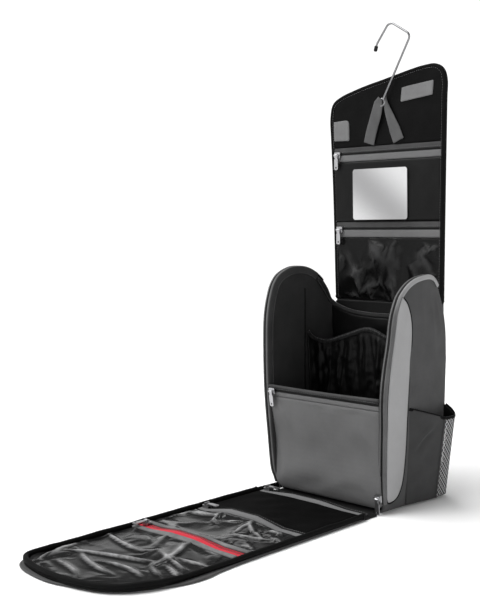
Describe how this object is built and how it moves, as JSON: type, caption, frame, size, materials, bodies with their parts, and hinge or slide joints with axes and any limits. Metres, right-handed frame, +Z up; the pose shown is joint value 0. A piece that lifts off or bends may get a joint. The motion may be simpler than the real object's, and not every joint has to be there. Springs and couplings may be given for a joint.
{
  "type": "hanging toiletry bag",
  "caption": "Hanging toiletry bag opened out, with a padded compartment, a front flap on the floor, a standing panel with mirror and a wire hook.",
  "frame": {"origin": "on the floor at the middle of the compartment, between its side walls and its front and back", "axes": "+Z up, +X to the bag's right side as seen from the front, and the front flap lies towards -Y"},
  "size_m": [0.249, 0.5956, 0.6733],
  "materials": {
    "shell": "dark grey woven polyester",
    "lining": "black woven lining",
    "board": "black stiffening board",
    "binding": "black binding tape",
    "main_zip": "black zip tape",
    "grey_cloth": "grey woven polyester",
    "pale_cloth": "light grey woven polyester",
    "pocket_cloth": "dark grey woven polyester",
    "mesh": "light grey mesh",
    "band": "grey facing with a coil zip",
    "red": "red zip tape",
    "clear": "clear film over black lining",
    "metal": "bright plated metal",
    "webbing": "grey webbing",
    "patch": "grey hook and loop tape",
    "mirror": "silvered plastic mirror",
    "tip": "black rubber"
  },
  "bodies": {
    "compartment": {"base_panel": "shell", "base_board": "board", "back_wall": "shell", "back_lining": "lining", "saddle_binding": "binding", "front_wall": "lining", "front_pocket": "grey_cloth", "front_zip": "band", "side_wall_left": "shell", "side_wall_right": "shell", "main_zip_left": "main_zip", "main_zip_right": "main_zip", "side_accents": "pale_cloth", "side_pocket_left": "pocket_cloth", "side_pocket_right": "pocket_cloth", "side_meshes": "mesh", "side_pocket_trims": "binding", "elastic_pocket": "lining", "elastic_band": "binding"},
    "front_zip_slider": {"front_slider": "metal"},
    "front_zip_puller": {"front_puller": "metal"},
    "main_zip_slider": {"main_slider": "metal"},
    "main_zip_puller": {"main_puller": "metal"},
    "flap": {"flap_shell": "shell", "flap_binding": "binding", "flap_zip_1": "band", "flap_zip_2": "band", "red_zip": "red", "flap_pocket_1": "lining", "flap_pocket_2": "clear", "flap_pocket_3": "clear"},
    "flap_zip_1_slider": {"flap_slider_1": "metal"},
    "flap_zip_1_puller": {"flap_puller_1": "metal"},
    "flap_zip_2_slider": {"flap_slider_2": "metal"},
    "flap_zip_2_puller": {"flap_puller_2": "metal"},
    "red_zip_slider": {"red_slider": "metal"},
    "red_zip_puller": {"red_puller": "metal"},
    "flap_end": {"flap_end_shell": "shell", "flap_end_binding": "binding", "flap_end_pocket": "clear"},
    "panel_foot": {"panel_foot_shell": "shell", "panel_foot_pocket": "clear", "panel_foot_binding": "binding", "panel_low_zip": "band"},
    "panel_low_zip_slider": {"panel_low_slider": "metal"},
    "panel_low_zip_puller": {"panel_low_puller": "metal"},
    "panel": {"panel_shell": "shell", "panel_binding": "binding", "panel_pocket": "lining", "panel_high_zip": "band", "mirror": "mirror", "grip_patches": "patch", "hook_strap": "webbing"},
    "panel_high_zip_slider": {"panel_high_slider": "metal"},
    "panel_high_zip_puller": {"panel_high_puller": "metal"},
    "hanger": {"hook": "metal", "hook_tip": "tip"}
  },
  "joints": [
    {"name": "flap_fold", "type": "hinge", "parent": "compartment", "child": "flap", "pos_m": [0, -0.0925, 0.012], "axis": [-1, 0, 0], "range_deg": [0, 90]},
    {"name": "flap_end_fold", "type": "hinge", "parent": "flap", "child": "flap_end", "pos_m": [0, -0.4055, 0.012], "axis": [-1, 0, 0], "range_deg": [0, 90]},
    {"name": "panel_fold", "type": "hinge", "parent": "compartment", "child": "panel_foot", "pos_m": [0, 0.0705, 0.272], "axis": [-1, 0, 0], "range_deg": [-90, 10]},
    {"name": "panel_crease", "type": "hinge", "parent": "panel_foot", "child": "panel", "pos_m": [0, 0.0705, 0.39], "axis": [1, 0, 0], "range_deg": [0, 90]},
    {"name": "hook_swing", "type": "hinge", "parent": "panel", "child": "hanger", "pos_m": [-0.001, 0.0657, 0.562], "axis": [0, 1, 0], "range_deg": [-120, 60]},
    {"name": "front_zip_run", "type": "slide", "parent": "compartment", "child": "front_zip_slider", "axis": [1, 0, 0], "range_m": [0, 0.17764]},
    {"name": "front_zip_pull", "type": "hinge", "parent": "front_zip_slider", "child": "front_zip_puller", "pos_m": [-0.08882, -0.08568, 0.14953], "axis": [-1, 0, 0], "range_deg": [0, 170]},
    {"name": "main_zip_run", "type": "slide", "parent": "compartment", "child": "main_zip_slider", "axis": [0.0462, -0.1257, 0.991], "range_m": [0, 0.055]},
    {"name": "main_zip_pull", "type": "hinge", "parent": "main_zip_slider", "child": "main_zip_puller", "pos_m": [0.09629, -0.07712, 0.02241], "axis": [-0.9989, 0, 0.0465], "range_deg": [0, 170]},
    {"name": "flap_zip_1_run", "type": "slide", "parent": "flap", "child": "flap_zip_1_slider", "axis": [1, 0, 0], "range_m": [0, 0.172]},
    {"name": "flap_zip_1_pull", "type": "hinge", "parent": "flap_zip_1_slider", "child": "flap_zip_1_puller", "pos_m": [-0.086, -0.0977, 0.01325], "axis": [0, -1, 0], "range_deg": [0, 170]},
    {"name": "flap_zip_2_run", "type": "slide", "parent": "flap", "child": "flap_zip_2_slider", "axis": [1, 0, 0], "range_m": [0, 0.172]},
    {"name": "flap_zip_2_pull", "type": "hinge", "parent": "flap_zip_2_slider", "child": "flap_zip_2_puller", "pos_m": [-0.086, -0.2173, 0.01325], "axis": [0, -1, 0], "range_deg": [0, 170]},
    {"name": "red_zip_run", "type": "slide", "parent": "flap", "child": "red_zip_slider", "axis": [1, 0, 0], "range_m": [0, 0.172]},
    {"name": "red_zip_pull", "type": "hinge", "parent": "red_zip_slider", "child": "red_zip_puller", "pos_m": [-0.086, -0.3233, 0.01325], "axis": [-1, 0, 0], "range_deg": [0, 170]},
    {"name": "panel_low_zip_run", "type": "slide", "parent": "panel_foot", "child": "panel_low_zip_slider", "axis": [1, 0, 0], "range_m": [0, 0.17353]},
    {"name": "panel_low_zip_pull", "type": "hinge", "parent": "panel_low_zip_slider", "child": "panel_low_zip_puller", "pos_m": [-0.08676, 0.06655, 0.3781], "axis": [1, 0, 0], "range_deg": [-170, 0]},
    {"name": "panel_high_zip_run", "type": "slide", "parent": "panel", "child": "panel_high_zip_slider", "axis": [1, 0, 0], "range_m": [0, 0.17888]},
    {"name": "panel_high_zip_pull", "type": "hinge", "parent": "panel_high_zip_slider", "child": "panel_high_zip_puller", "pos_m": [-0.08944, 0.06655, 0.4905], "axis": [-1, 0, 0], "range_deg": [0, 170]}
  ]
}
